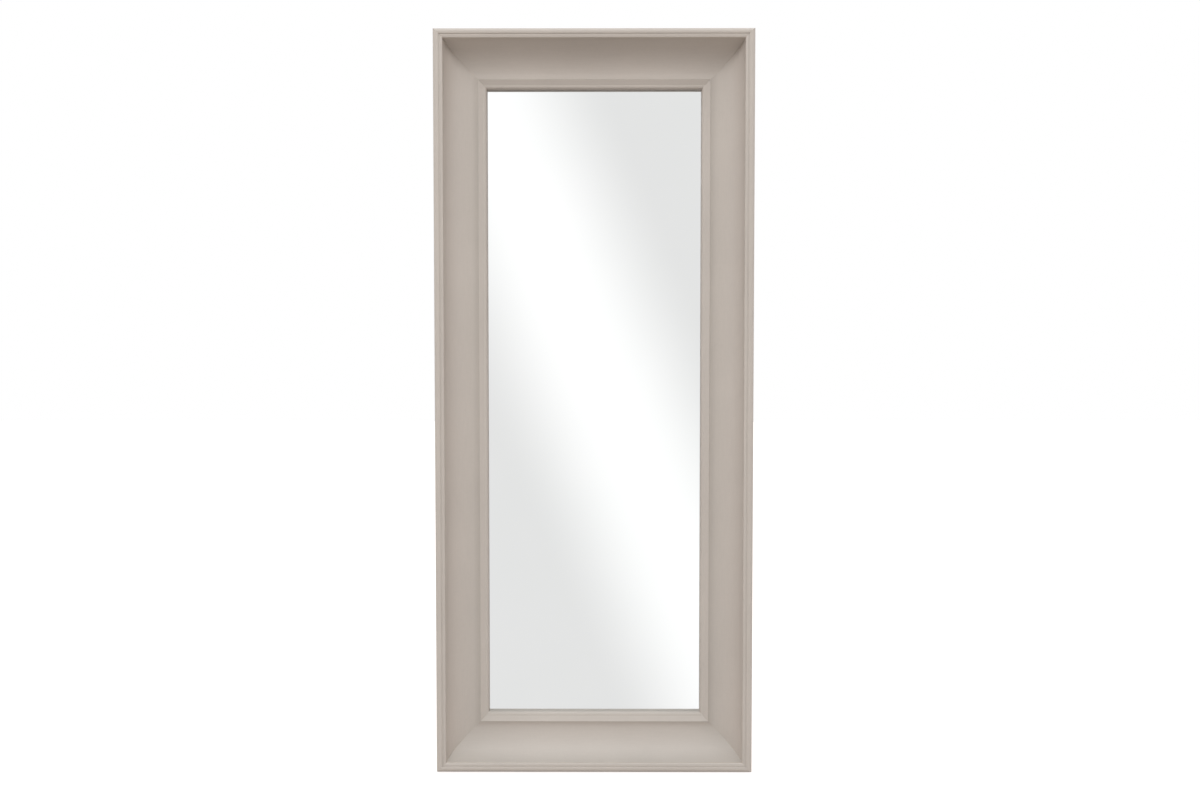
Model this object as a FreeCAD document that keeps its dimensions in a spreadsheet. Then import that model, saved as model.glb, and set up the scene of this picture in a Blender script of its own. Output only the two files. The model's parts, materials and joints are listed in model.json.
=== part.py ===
import FreeCAD, Part
import Sketcher
import math
import os

# A tall wall mirror in a deep scoop frame. The frame hangs on two wall hooks through D-rings on its back.
# +X is right as seen from the front, +Z is up, and the front faces -Y. The wall is the plane y = 0.
# The origin lies on the wall, midway between the two hooks, at the height where the rings bear on them.

os.makedirs("parts", exist_ok=True)
doc = FreeCAD.newDocument("WallMirror")

# Driving sizes, in millimetres

sizes = {
    # whole frame
    "frameWidth": 600.0,
    "frameHeight": 1400.0,
    "hangDrop": 230.0,  # top of the frame down to the line of the hooks
    # scoop moulding, as a section: widths run inwards from the outer edge, depths forwards from the outer leg
    "mouldingDepth": 78.0,
    "mouldingWidth": 77.0,
    "beadRadius": 5.5,
    "quirkDepth": 1.5,
    "quirkWidth": 0.9,
    "filletDrop": 0.6,
    "filletFall": 1.8,
    "lipWidth": 18.4,
    "sightLip": 6.9,  # wood left between the scoop and the slip's tongue
    "outerLegWidth": 26.0,
    "innerLegWidth": 18.0,
    "innerLegRecess": 5.0,
    "channelOuterWall": 18.0,
    "channelInnerWall": 14.0,
    "channelRoundShare": 0.62,  # radius of the channel's roof as a share of its chord
    "rebateWidth": 9.0,
    # sight slip, let in behind the moulding's sight edge
    "slipTongueThick": 7.0,
    "slipShow": 15.2,
    "slipStep": 0.3,
    "slipSlopeWidth": 8.0,
    "slipSlopeFall": 2.3,
    "slipBeadRadius": 7.0,
    "slipArrisDrop": 1.1,
    "slipGap": 0.1,
    # glass, board and the blocks that centre the glass in its rebate
    "glassThick": 4.0,
    "glassEdgeGap": 2.0,
    "glassArris": 0.6,
    "boardThick": 3.0,
    "boardEdgeGap": 1.2,
    "boardCorner": 4.0,
    "settingBlockLength": 80.0,
    "settingBlockInset": 190.0,
    "spacerLength": 45.0,
    "stileSpacerInset": 320.0,
    "railSpacerInset": 200.0,
    # bent wedges that hold each mitre
    "nailLeg": 8.0,
    "nailThick": 0.7,
    "nailHeight": 10.0,
    "nailClearance": 0.05,
    # angle plates over the mitres
    "plateArm": 48.0,
    "plateWidth": 15.0,
    "plateThick": 2.0,
    "plateEndRadius": 5.0,
    "plateHole": 40.0,
    # wood screws
    "pilotClearance": 0.05,
    "pilotRunOut": 1.0,
    "plateScrewLength": 16.0,
    "plateScrewRadius": 1.6,
    "plateHeadRadius": 3.2,
    "plateHoleClearance": 0.3,
    "buttonScrewLength": 14.0,
    "buttonScrewRadius": 1.7,
    "buttonHeadRadius": 3.6,
    "buttonHeadHeight": 1.9,
    "hangerScrewLength": 18.0,
    "hangerScrewRadius": 1.9,
    "hangerHeadRadius": 3.8,
    "hangerHeadHeight": 2.1,
    # turn buttons over the edge of the backing board
    "buttonReach": 20.0,
    "buttonHubRadius": 6.0,
    "buttonTipRadius": 4.0,
    "buttonThick": 1.2,
    "buttonPlay": 0.3,
    "buttonHoleClearance": 0.08,
    "stileButtonInset": 235.0,
    # folded hanger straps and the rings in their eyes
    "strapWidth": 13.0,
    "strapLength": 50.0,
    "strapThick": 1.0,
    "strapSlit": 0.1,
    "strapEndRadius": 5.0,
    "strapHoleNear": 25.0,
    "strapHoleFar": 41.0,
    "strapHoleClearance": 0.2,
    "ringWire": 2.6,
    "ringSidePlay": 0.5,
    "ringCorner": 3.2,
    "ringShoulder": 3.8,
    "eyeClearance": 0.1,
    # rubber bumpers against the wall
    "bumperRadius": 9.0,
    "bumperThick": 6.0,
    "bumperTaper": 0.8,
    "bumperInset": 96.0,
    # how far a cut runs past what it cuts
    "overrun": 2.0,
}

sheet = doc.addObject("Spreadsheet::Sheet", "Sizes")
for row, (alias, amount) in enumerate(sizes.items(), start=1):
    sheet.set("A%d" % row, alias)
    sheet.set("B%d" % row, str(amount))
    sheet.setAlias("B%d" % row, alias)
doc.recompute()


# A size knows its value and the formula on the sheet that gives it

class Size:
    def __init__(self, value, formula):
        self.value = value
        self.formula = formula

    def __add__(self, other):
        return Size(self.value + number(other), "(%s + %s)" % (self.formula, words(other)))

    def __sub__(self, other):
        return Size(self.value - number(other), "(%s - %s)" % (self.formula, words(other)))

    def __mul__(self, other):
        return Size(self.value * number(other), "(%s * %s)" % (self.formula, words(other)))

    def __truediv__(self, other):
        return Size(self.value / number(other), "(%s / %s)" % (self.formula, words(other)))

    def __neg__(self):
        return Size(-self.value, "(0 - %s)" % self.formula)

    __rmul__ = __mul__


def number(size):
    return size.value if isinstance(size, Size) else float(size)


def words(size):
    return size.formula if isinstance(size, Size) else "(%r)" % size


def root(size):
    return Size(math.sqrt(size.value), "sqrt(%s)" % size.formula)


class Sheet:
    def __getattr__(self, alias):
        return Size(sheet.get(alias), "Sizes.%s" % alias)


s = Sheet()
diagonal = math.sqrt(0.5)
left, right = "left", "right"


# Sketches: closed outlines whose every corner is held by a size

def newSketch(body, name, role):
    sketch = body.newObject("Sketcher::SketchObject", name)
    plane = [feature for feature in body.Origin.OriginFeatures if feature.Role == role][0]
    sketch.AttachmentSupport = [(plane, "")]
    sketch.MapMode = "FlatFace"
    return sketch


def hold(sketch, constraint, size):
    row = sketch.addConstraint(constraint)
    if isinstance(size, Size):
        sketch.setExpression("Constraints[%d]" % row, size.formula)


def holdPoint(sketch, edge, end, x, y):
    hold(sketch, Sketcher.Constraint("DistanceX", -1, 1, edge, end, number(x)), x)
    hold(sketch, Sketcher.Constraint("DistanceY", -1, 1, edge, end, number(y)), y)


def addArc(sketch, start, finish, radius, turn):
    # the shorter arc from start to finish, turning left or right on its way
    chord = finish - start
    rise = math.sqrt(max(radius ** 2 - (chord.Length / 2) ** 2, 0))
    across = FreeCAD.Vector(-chord.y, chord.x, 0).normalize() * (rise if turn == left else -rise)
    centre = (start + finish) / 2 + across
    first, last = (start, finish) if turn == left else (finish, start)
    angles = [math.atan2(spot.y - centre.y, spot.x - centre.x) for spot in (first, last)]
    circle = Part.Circle(centre, FreeCAD.Vector(0, 0, 1), radius)
    edge = sketch.addGeometry(Part.ArcOfCircle(circle, angles[0], angles[1]), False)
    return edge, (1, 2) if turn == left else (2, 1)


def outline(sketch, corners):
    # a corner is (x, y) at the end of a straight side, or (x, y, radius, turn) at the end of an arc
    spots = [FreeCAD.Vector(number(x), number(y), 0) for x, y, *bend in corners]
    sides = []
    for i, (x, y, *bend) in enumerate(corners):
        if bend:
            radius, turn = bend
            edge, ends = addArc(sketch, spots[i - 1], spots[i], number(radius), turn)
        else:
            edge, ends = sketch.addGeometry(Part.LineSegment(spots[i - 1], spots[i]), False), (1, 2)
        sides.append((edge, *ends))
    for i, (edge, first, last) in enumerate(sides):
        before = sides[i - 1]
        sketch.addConstraint(Sketcher.Constraint("Coincident", before[0], before[2], edge, first))
    for (edge, first, last), (x, y, *bend) in zip(sides, corners):
        holdPoint(sketch, edge, last, x, y)
        if bend:
            radius, turn = bend
            hold(sketch, Sketcher.Constraint("Radius", edge, number(radius)), radius)


def circle(sketch, x, y, radius):
    centre = FreeCAD.Vector(number(x), number(y), 0)
    edge = sketch.addGeometry(Part.Circle(centre, FreeCAD.Vector(0, 0, 1), number(radius)), False)
    holdPoint(sketch, edge, 3, x, y)
    hold(sketch, Sketcher.Constraint("Radius", edge, number(radius)), radius)


def rectangle(sketch, lowX, lowY, highX, highY):
    outline(sketch, [(lowX, lowY), (highX, lowY), (highX, highY), (lowX, highY)])


# Bodies and their features

def newBody(label):
    body = doc.addObject("PartDesign::Body", label)
    body.Label = label
    return body


def pad(body, sketch, length, sides="One side"):
    feature = body.newObject("PartDesign::Pad", sketch.Name + "Pad")
    feature.Profile = sketch
    feature.SideType = sides
    feature.Length = number(length)
    feature.setExpression("Length", length.formula)
    return feature


def pocket(body, sketch, depth=None):
    feature = body.newObject("PartDesign::Pocket", sketch.Name + "Pocket")
    feature.Profile = sketch
    if depth is None:
        feature.Type = "ThroughAll"
        feature.SideType = "Symmetric"
    else:
        feature.Length = number(depth)
        feature.setExpression("Length", depth.formula)
    return feature


def turned(body, corners):
    # a solid of revolution about the body's own Z axis, from its half section
    sketch = newSketch(body, body.Name + "Half", "XZ_Plane")
    outline(sketch, corners)
    feature = body.newObject("PartDesign::Revolution", body.Name + "Turning")
    feature.Profile = sketch
    feature.ReferenceAxis = (sketch, ["V_Axis"])
    feature.Angle = 360
    return feature


def place(thing, x, y, z, rotation):
    thing.Placement = FreeCAD.Placement(FreeCAD.Vector(number(x), number(y), number(z)), rotation)
    for axis, size in (("x", x), ("y", y), ("z", z)):
        if isinstance(size, Size):
            thing.setExpression("Placement.Base." + axis, size.formula)


# Levels and lines that several pieces share

halfWidth = s.frameWidth / 2
halfHeight = s.frameHeight / 2
middle = s.hangDrop - halfHeight  # height of the frame's centre
legBack = -s.bumperThick  # y of the outer leg's back
innerLegBack = legBack - s.innerLegRecess
boardFront = s.innerLegRecess + s.boardThick
slipBack = boardFront + s.glassThick
rebateCeiling = slipBack + s.slipTongueThick + s.slipGap
rebateWall = s.mouldingWidth - s.rebateWidth
sightEdge = s.mouldingWidth + s.slipShow
legMiddle = s.outerLegWidth / 2
innerLegMiddle = rebateWall - s.innerLegWidth / 2
coveTop = s.mouldingDepth - s.filletDrop - s.filletFall
coveEnd = rebateCeiling + s.sightLip
coveRun = s.mouldingWidth - s.lipWidth
coveFall = coveTop - coveEnd
# the scoop leaves the lip straight down, and one arc takes it to the sight edge
coveRadius = (coveRun * coveRun + coveFall * coveFall) / (coveRun * 2)
slipTop = coveEnd - s.slipStep

# A member lies with its width along its own X, its depth along Y and its run along Z

forward = FreeCAD.Vector(0, -1, 0)


def facing(inward):
    return FreeCAD.Rotation(inward, forward, inward.cross(forward), "XYZ")


towards = {
    "left": facing(FreeCAD.Vector(1, 0, 0)),
    "right": facing(FreeCAD.Vector(-1, 0, 0)),
    "bottom": facing(FreeCAD.Vector(0, 0, 1)),
    "top": facing(FreeCAD.Vector(0, 0, -1)),
}


def placeMember(body, side):
    x = {"left": -halfWidth, "right": halfWidth}.get(side, 0)
    z = {"bottom": middle - halfHeight, "top": middle + halfHeight}.get(side, middle)
    place(body, x, legBack, z, towards[side])


def mitre(body, halfRun, inner):
    # both ends are cut at 45 degrees, from the outer corner of the frame inwards
    sketch = newSketch(body, body.Name + "Mitre", "XZ_Plane")
    past = s.overrun
    for end in (1, -1):
        corners = [
            (-past, end * (halfRun + past)),
            (inner + past, end * (halfRun - inner - past)),
            (inner + past, end * (halfRun + past)),
        ]
        outline(sketch, corners)
    pocket(body, sketch)


def nailSlots(body, halfRun, across, depth):
    # half of each wedge's slot is in this member, and half is in the next
    sketch = newSketch(body, body.Name + "NailSlots", "XZ_Plane")
    half = s.nailThick / 2 + s.nailClearance
    reach = s.nailLeg + s.nailClearance
    for end in (1, -1):
        spot = halfRun - across
        corners = [
            (across - half, end * (spot + half)),
            (across - half, end * (spot - reach)),
            (across + half, end * (spot - reach)),
            (across + half, end * (spot - half)),
            (across + reach, end * (spot - half)),
            (across + reach, end * (spot + half)),
        ]
        outline(sketch, corners)
    pocket(body, sketch, depth)


def pilotHoles(body, name, spots, screwRadius, depth):
    sketch = newSketch(body, body.Name + name, "XZ_Plane")
    for x, along in spots:
        circle(sketch, x, along, screwRadius + s.pilotClearance)
    pocket(body, sketch, depth)


def moulding(label, side, halfRun, buttons, hangerHoles):
    body = newBody(label)
    section = newSketch(body, label + "Section", "XY_Plane")
    quirkFloor = s.mouldingDepth - s.quirkDepth
    beadDrop = s.beadRadius - s.quirkDepth
    quirkOuter = s.beadRadius + root(s.beadRadius * s.beadRadius - beadDrop * beadDrop)
    quirkInner = quirkOuter + s.quirkWidth
    channelEnd = rebateWall - s.innerLegWidth
    channelRun = channelEnd - s.outerLegWidth
    channelFall = s.channelOuterWall - s.channelInnerWall
    channelRadius = root(channelRun * channelRun + channelFall * channelFall) * s.channelRoundShare
    outline(section, [
        (0, 0),
        (s.outerLegWidth, 0),
        (s.outerLegWidth, s.channelOuterWall),
        (channelEnd, s.channelInnerWall, channelRadius, right),
        (channelEnd, s.innerLegRecess),
        (rebateWall, s.innerLegRecess),
        (rebateWall, rebateCeiling),
        (s.mouldingWidth, rebateCeiling),
        (s.mouldingWidth, coveEnd),
        (s.lipWidth, coveTop, coveRadius, right),
        (quirkInner, s.mouldingDepth - s.filletDrop),
        (quirkInner, quirkFloor),
        (quirkOuter, quirkFloor),
        (s.beadRadius, s.mouldingDepth, s.beadRadius, left),
        (0, s.mouldingDepth - s.beadRadius, s.beadRadius, left),
    ])
    pad(body, section, halfRun * 2, "Symmetric")
    mitre(body, halfRun, s.mouldingWidth)
    nailSlots(body, halfRun, legMiddle, s.nailHeight)
    nailSlots(body, halfRun, innerLegMiddle, s.innerLegRecess + s.nailHeight)
    plateSpots = [(legMiddle, end * (halfRun - s.plateHole)) for end in (1, -1)]
    plateDepth = s.plateScrewLength - s.plateThick + s.pilotRunOut
    pilotHoles(body, "PlateHoles", plateSpots, s.plateScrewRadius, plateDepth)
    buttonSpots = [(innerLegMiddle, along) for along in buttons]
    buttonDepth = s.innerLegRecess + buttonGrip + s.pilotRunOut
    pilotHoles(body, "ButtonHoles", buttonSpots, s.buttonScrewRadius, buttonDepth)
    if hangerHoles:
        hangerDepth = s.hangerScrewLength - strapStack + s.pilotRunOut
        hangerSpots = [(legMiddle, along) for along in hangerHoles]
        pilotHoles(body, "HangerHoles", hangerSpots, s.hangerScrewRadius, hangerDepth)
    placeMember(body, side)
    return body


def slip(label, side, halfRun):
    # a sloped outer half, a flat bead along the sight edge, and a tongue under the moulding's lip
    body = newBody(label)
    section = newSketch(body, label + "Section", "XY_Plane")
    outer = s.mouldingWidth + s.slipGap
    slopeEnd = outer + s.slipSlopeWidth
    slopeFoot = slipTop - s.slipSlopeFall
    tongueTop = slipBack + s.slipTongueThick
    outline(section, [
        (rebateWall + s.slipGap, slipBack),
        (sightEdge, slipBack),
        (sightEdge, slopeFoot - s.slipArrisDrop),
        (slopeEnd, slopeFoot, s.slipBeadRadius, left),
        (outer, slipTop),
        (outer, tongueTop),
        (rebateWall + s.slipGap, tongueTop),
    ])
    pad(body, section, halfRun * 2, "Symmetric")
    mitre(body, halfRun, sightEdge)
    placeMember(body, side)
    return body


# Glass, board and blocks lie in the frame's opening, drawn as seen from the front

upright = FreeCAD.Rotation(FreeCAD.Vector(1, 0, 0), FreeCAD.Vector(0, 0, 1), forward, "XYZ")


def mirrorGlass():
    body = newBody("mirror_glass")
    sketch = newSketch(body, "GlassOutline", "XY_Plane")
    x = halfWidth - rebateWall - s.glassEdgeGap
    y = halfHeight - rebateWall - s.glassEdgeGap
    rectangle(sketch, -x, -y, x, y)
    sheetOfGlass = pad(body, sketch, s.glassThick)
    doc.recompute()
    arris = body.newObject("PartDesign::Chamfer", "GlassArris")
    edges = ["Edge%d" % (i + 1) for i in range(len(sheetOfGlass.Shape.Edges))]
    arris.Base = (sheetOfGlass, edges)
    arris.Size = number(s.glassArris)
    arris.setExpression("Size", s.glassArris.formula)
    place(body, 0, innerLegBack - s.boardThick, middle, upright)
    return body


def backingBoard():
    body = newBody("backing_board")
    sketch = newSketch(body, "BoardOutline", "XY_Plane")
    x = halfWidth - rebateWall - s.boardEdgeGap
    y = halfHeight - rebateWall - s.boardEdgeGap
    corner = s.boardCorner
    outline(sketch, [
        (x - corner, -y),
        (x, corner - y, corner, left),
        (x, y - corner),
        (x - corner, y, corner, left),
        (corner - x, y),
        (-x, y - corner, corner, left),
        (-x, corner - y),
        (corner - x, -y, corner, left),
    ])
    pad(body, sketch, s.boardThick)
    place(body, 0, innerLegBack, middle, upright)
    return body


def rubberBlocks(label, blocks):
    # each block is (low x, low z, length along x, length along z) and is as thick as the glass
    solids = []
    for x, z, wide, high in blocks:
        box = doc.addObject("Part::Box", label + "_block")
        box.setExpression("Length", wide.formula)
        box.setExpression("Width", s.glassThick.formula)
        box.setExpression("Height", high.formula)
        place(box, x, legBack - slipBack, z, FreeCAD.Rotation())
        solids.append(box)
    return compound(label, solids)


def compound(label, solids):
    group = doc.addObject("Part::Compound", label)
    group.Label = label
    group.Links = solids
    return group


def settingBlocks():
    long = s.settingBlockLength
    floor = middle - halfHeight + rebateWall
    blocks = []
    for side in (1, -1):
        centre = side * (halfWidth - s.settingBlockInset)
        blocks.append((centre - long / 2, floor, long, s.glassEdgeGap))
    return rubberBlocks("setting_blocks", blocks)


def edgeSpacers():
    long = s.spacerLength
    gap = s.glassEdgeGap
    blocks = []
    for side in (1, -1):
        wall = halfWidth - rebateWall
        x = wall - gap if side == 1 else -wall
        for end in (1, -1):
            centre = middle + end * (halfHeight - s.stileSpacerInset)
            blocks.append((x, centre - long / 2, gap, long))
        centre = side * (halfWidth - s.railSpacerInset)
        blocks.append((centre - long / 2, middle + halfHeight - rebateWall - gap, long, gap))
    return rubberBlocks("edge_spacers", blocks)


# Fittings on the back are drawn as seen from behind: X to the right there, Y up, Z away from the frame

fromBehind = FreeCAD.Rotation(FreeCAD.Vector(-1, 0, 0), FreeCAD.Vector(0, 0, 1), FreeCAD.Vector(0, 1, 0), "XYZ")


def quarter(turns):
    return fromBehind.multiply(FreeCAD.Rotation(FreeCAD.Vector(0, 0, 1), 90 * turns))


# name, side in x, side in z, quarter turns of a fitting that is drawn for the first corner
frameCorners = (
    ("bottom_right", 1, -1, 0),
    ("bottom_left", -1, -1, 1),
    ("top_left", -1, 1, 2),
    ("top_right", 1, 1, 3),
)


def linked(template, x, y, z, rotation):
    link = doc.addObject("App::Link", template.Name + "_copy")
    link.LinkedObject = template
    place(link, x, y, z, rotation)
    return link


def nailTemplate():
    # two legs at a right angle, their bend on the line of the mitre
    body = newBody("bentNail")
    sketch = newSketch(body, "NailOutline", "XY_Plane")
    half = s.nailThick / 2
    leg = s.nailLeg
    outline(sketch, [
        (-half, -half),
        (leg, -half),
        (leg, half),
        (half, half),
        (half, leg),
        (-half, leg),
    ])
    pad(body, sketch, s.nailHeight)
    return body


def mitreNails():
    template = nailTemplate()
    nails = []
    for name, sideX, sideZ, turns in frameCorners:
        for across, level in ((legMiddle, legBack), (innerLegMiddle, innerLegBack)):
            x = sideX * (halfWidth - across)
            z = middle + sideZ * (halfHeight - across)
            nails.append(linked(template, x, level - s.nailHeight, z, quarter(turns)))
    return compound("v_nails", nails)


def cornerPlate(name, sideX, sideZ, turns):
    body = newBody("corner_plate_" + name)
    sketch = newSketch(body, body.Name + "Outline", "XY_Plane")
    low = legMiddle - s.plateWidth / 2
    high = legMiddle + s.plateWidth / 2
    end = low + s.plateArm
    bend = s.plateEndRadius
    outline(sketch, [
        (low, low),
        (end - bend, low),
        (end, low + bend, bend, left),
        (end, high - bend),
        (end - bend, high, bend, left),
        (high, high),
        (high, end - bend),
        (high - bend, end, bend, left),
        (low + bend, end),
        (low, end - bend, bend, left),
    ])
    pad(body, sketch, s.plateThick)
    holes = newSketch(body, body.Name + "Holes", "XY_Plane")
    holes.setExpression("AttachmentOffset.Base.z", s.plateThick.formula)
    circle(holes, s.plateHole, legMiddle, s.plateScrewRadius)
    circle(holes, legMiddle, s.plateHole, s.plateScrewRadius)
    doc.recompute()
    hole = body.newObject("PartDesign::Hole", body.Name + "Countersinks")
    hole.Profile = holes
    hole.DepthType = "ThroughAll"
    hole.Threaded = False
    hole.HoleCutType = "Countersink"
    hole.HoleCutCustomValues = True
    hole.setExpression("Diameter", ((s.plateScrewRadius + s.plateHoleClearance) * 2).formula)
    hole.setExpression("HoleCutDiameter", ((s.plateHeadRadius + s.plateHoleClearance) * 2).formula)
    hole.HoleCutCountersinkAngle = 90
    place(body, sideX * halfWidth, legBack, middle + sideZ * halfHeight, quarter(turns))
    return body


def countersunkScrew():
    # its flat head is flush with the plate, and its cone has the countersink's right angle
    body = newBody("countersunkScrew")
    cone = s.plateHeadRadius - s.plateScrewRadius
    turned(body, [
        (0, -s.plateScrewLength),
        (s.plateScrewRadius, -s.plateScrewLength),
        (s.plateScrewRadius, -cone),
        (s.plateHeadRadius, 0),
        (0, 0),
    ])
    return body


def panScrew(name, length, radius, headRadius, headHeight):
    # the underside of the head is at z = 0
    body = newBody(name)
    turned(body, [
        (0, -length),
        (radius, -length),
        (radius, 0),
        (headRadius, 0),
        (headRadius, headHeight),
        (0, headHeight),
    ])
    return body


def plateScrews():
    template = countersunkScrew()
    screws = []
    for name, sideX, sideZ, turns in frameCorners:
        for across, up in ((s.plateHole, legMiddle), (legMiddle, s.plateHole)):
            x = sideX * (halfWidth - across)
            z = middle + sideZ * (halfHeight - up)
            screws.append(linked(template, x, legBack + s.plateThick, z, fromBehind))
    return compound("corner_plate_screws", screws)


# Turn buttons: name, x and z of the pivot, quarter turns that point the tip at the board

stilePivot = halfWidth - innerLegMiddle
railPivot = halfHeight - innerLegMiddle
stileReach = halfHeight - s.stileButtonInset
buttonPlaces = (
    ("top", 0, middle + railPivot, 3),
    ("bottom", 0, middle - railPivot, 1),
    ("left_upper", -stilePivot, middle + stileReach, 2),
    ("left_middle", -stilePivot, middle, 2),
    ("left_lower", -stilePivot, middle - stileReach, 2),
    ("right_upper", stilePivot, middle + stileReach, 0),
    ("right_middle", stilePivot, middle, 0),
    ("right_lower", stilePivot, middle - stileReach, 0),
)
buttonStack = s.buttonPlay * 2 + s.buttonThick
buttonGrip = s.buttonScrewLength - buttonStack


def turnButton(name, x, z, turns):
    # a flat steel tab: a round hub at its pivot, straight tangent sides and a smaller round tip
    body = newBody("turn_button_" + name)
    sketch = newSketch(body, body.Name + "Outline", "XY_Plane")
    hub = s.buttonHubRadius
    tip = s.buttonTipRadius
    tipCentre = s.buttonReach - tip
    lean = (hub - tip) / tipCentre
    rise = root(Size(1, "1") - lean * lean)
    outline(sketch, [
        (-hub, 0, hub, left),
        (hub * lean, -hub * rise, hub, left),
        (tipCentre + tip * lean, -tip * rise),
        (s.buttonReach, 0, tip, left),
        (tipCentre + tip * lean, tip * rise, tip, left),
        (hub * lean, hub * rise),
    ])
    pad(body, sketch, s.buttonThick)
    hole = newSketch(body, body.Name + "Hole", "XY_Plane")
    circle(hole, 0, 0, s.buttonScrewRadius + s.buttonHoleClearance)
    pocket(body, hole)
    place(body, x, innerLegBack + s.buttonPlay, z, quarter(turns))
    return body


def buttonScrews():
    template = panScrew(
        "buttonScrew", s.buttonScrewLength, s.buttonScrewRadius, s.buttonHeadRadius, s.buttonHeadHeight)
    # the shank reaches back from the head through the button, so the head stands clear of it
    screws = [
        linked(template, x, innerLegBack + buttonStack, z, fromBehind) for name, x, z, turns in buttonPlaces
    ]
    return compound("turn_button_screws", screws)


# Hangers: a strap folded round the bar of its ring, with the ring standing up as it does on its hook

ringRadius = s.strapWidth / 2 + s.ringSidePlay + s.ringCorner
ringRise = s.ringCorner + s.ringShoulder + ringRadius
wireRadius = s.ringWire / 2
eyeInner = wireRadius + s.eyeClearance
eyeOuter = eyeInner + s.strapThick
eyeLevel = wireRadius - ringRise  # the inside of the ring's top is at z = 0
strapStack = s.strapThick * 2 + s.strapSlit
hangerX = halfWidth - legMiddle


def hangerStrap(side, sign):
    body = newBody("hanger_strap_" + side)
    profile = newSketch(body, body.Name + "Fold", "YZ_Plane")
    long = s.strapLength
    upperFace = strapStack - eyeOuter
    lowerFace = upperFace - s.strapThick
    outerTangent = eyeOuter * diagonal
    innerTangent = eyeInner * diagonal
    outline(profile, [
        (-long, -eyeOuter),
        (0, -eyeOuter),
        (eyeOuter, 0, eyeOuter, left),
        (0, eyeOuter, eyeOuter, left),
        (-outerTangent, outerTangent, eyeOuter, left),
        (upperFace - outerTangent * 2, upperFace),
        (-long, upperFace),
        (-long, lowerFace),
        (lowerFace - innerTangent * 2, lowerFace),
        (-innerTangent, innerTangent),
        (0, eyeInner, eyeInner, right),
        (eyeInner, 0, eyeInner, right),
        (0, -eyeInner, eyeInner, right),
        (-long, -eyeInner),
    ])
    pad(body, profile, s.strapWidth, "Symmetric")
    cuts = newSketch(body, body.Name + "Cuts", "XY_Plane")
    for hole in (s.strapHoleNear, s.strapHoleFar):
        circle(cuts, 0, -hole, s.hangerScrewRadius + s.strapHoleClearance)
    pocket(body, cuts)
    ends = newSketch(body, body.Name + "Ends", "XY_Plane")
    edge = s.strapWidth / 2
    bend = s.strapEndRadius
    for across in (1, -1):
        corners = [
            (across * edge, bend - long),
            (across * (edge - bend), -long, bend, right if across == 1 else left),
            (across * (edge - bend), -long - s.overrun),
            (across * (edge + s.overrun), -long - s.overrun),
            (across * (edge + s.overrun), bend - long),
        ]
        outline(ends, corners)
    pocket(body, ends)
    place(body, sign * hangerX, legBack + eyeOuter, eyeLevel, fromBehind)
    return body


def dRing(side, sign):
    # one round wire: a straight bar in the eye, two tight corners and a half round top
    body = newBody("d_ring_" + side)
    route = newSketch(body, body.Name + "Route", "XY_Plane")
    bar = ringRadius - s.ringCorner
    shoulder = s.ringCorner + s.ringShoulder
    outline(route, [
        (0, 0),
        (bar, 0),
        (ringRadius, s.ringCorner, s.ringCorner, left),
        (ringRadius, shoulder),
        (0, ringRise, ringRadius, left),
        (-ringRadius, shoulder, ringRadius, left),
        (-ringRadius, s.ringCorner),
        (-bar, 0, s.ringCorner, left),
    ])
    wire = newSketch(body, body.Name + "Wire", "YZ_Plane")
    circle(wire, 0, 0, wireRadius)
    ring = body.newObject("PartDesign::AdditivePipe", body.Name + "Bend")
    ring.Profile = wire
    ring.Spine = (route, ["Edge%d" % (i + 1) for i in range(route.GeometryCount)])
    place(body, sign * hangerX, legBack + eyeOuter, eyeLevel, fromBehind)
    return body


def hangerScrews():
    template = panScrew(
        "hangerScrew", s.hangerScrewLength, s.hangerScrewRadius, s.hangerHeadRadius, s.hangerHeadHeight)
    screws = []
    for sign in (-1, 1):
        for hole in (s.strapHoleNear, s.strapHoleFar):
            screws.append(linked(template, sign * hangerX, legBack + strapStack, eyeLevel - hole, fromBehind))
    return compound("hanger_screws", screws)


def wallBumper(name, sideX, sideZ):
    # a moulded rubber foot that tapers towards the wall
    body = newBody("wall_bumper_" + name)
    turned(body, [
        (0, 0),
        (s.bumperRadius, 0),
        (s.bumperRadius - s.bumperTaper, s.bumperThick),
        (0, s.bumperThick),
    ])
    place(body, sideX * hangerX, legBack, middle + sideZ * (halfHeight - s.bumperInset), fromBehind)
    return body


# The whole mirror

pieces = []
hangerSpots = [eyeLevel - hole - middle for hole in (s.strapHoleNear, s.strapHoleFar)]
pieces.append(moulding("top_rail", "top", halfWidth, [0], []))
pieces.append(moulding("bottom_rail", "bottom", halfWidth, [0], []))
stileStations = [stileReach, 0, -stileReach]
pieces.append(moulding("left_stile", "left", halfHeight, stileStations, [-spot for spot in hangerSpots]))
pieces.append(moulding("right_stile", "right", halfHeight, stileStations, hangerSpots))
for label, side, halfRun in (
    ("slip_top", "top", halfWidth),
    ("slip_bottom", "bottom", halfWidth),
    ("slip_left", "left", halfHeight),
    ("slip_right", "right", halfHeight),
):
    pieces.append(slip(label, side, halfRun))
pieces.append(mirrorGlass())
pieces.append(backingBoard())
pieces.append(settingBlocks())
pieces.append(edgeSpacers())
pieces.append(mitreNails())
for name, sideX, sideZ, turns in frameCorners:
    pieces.append(cornerPlate(name, sideX, sideZ, turns))
    pieces.append(wallBumper(name, sideX, sideZ))
pieces.append(plateScrews())
for name, x, z, turns in buttonPlaces:
    pieces.append(turnButton(name, x, z, turns))
pieces.append(buttonScrews())
for side, sign in (("left", -1), ("right", 1)):
    pieces.append(hangerStrap(side, sign))
    pieces.append(dRing(side, sign))
pieces.append(hangerScrews())

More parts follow.
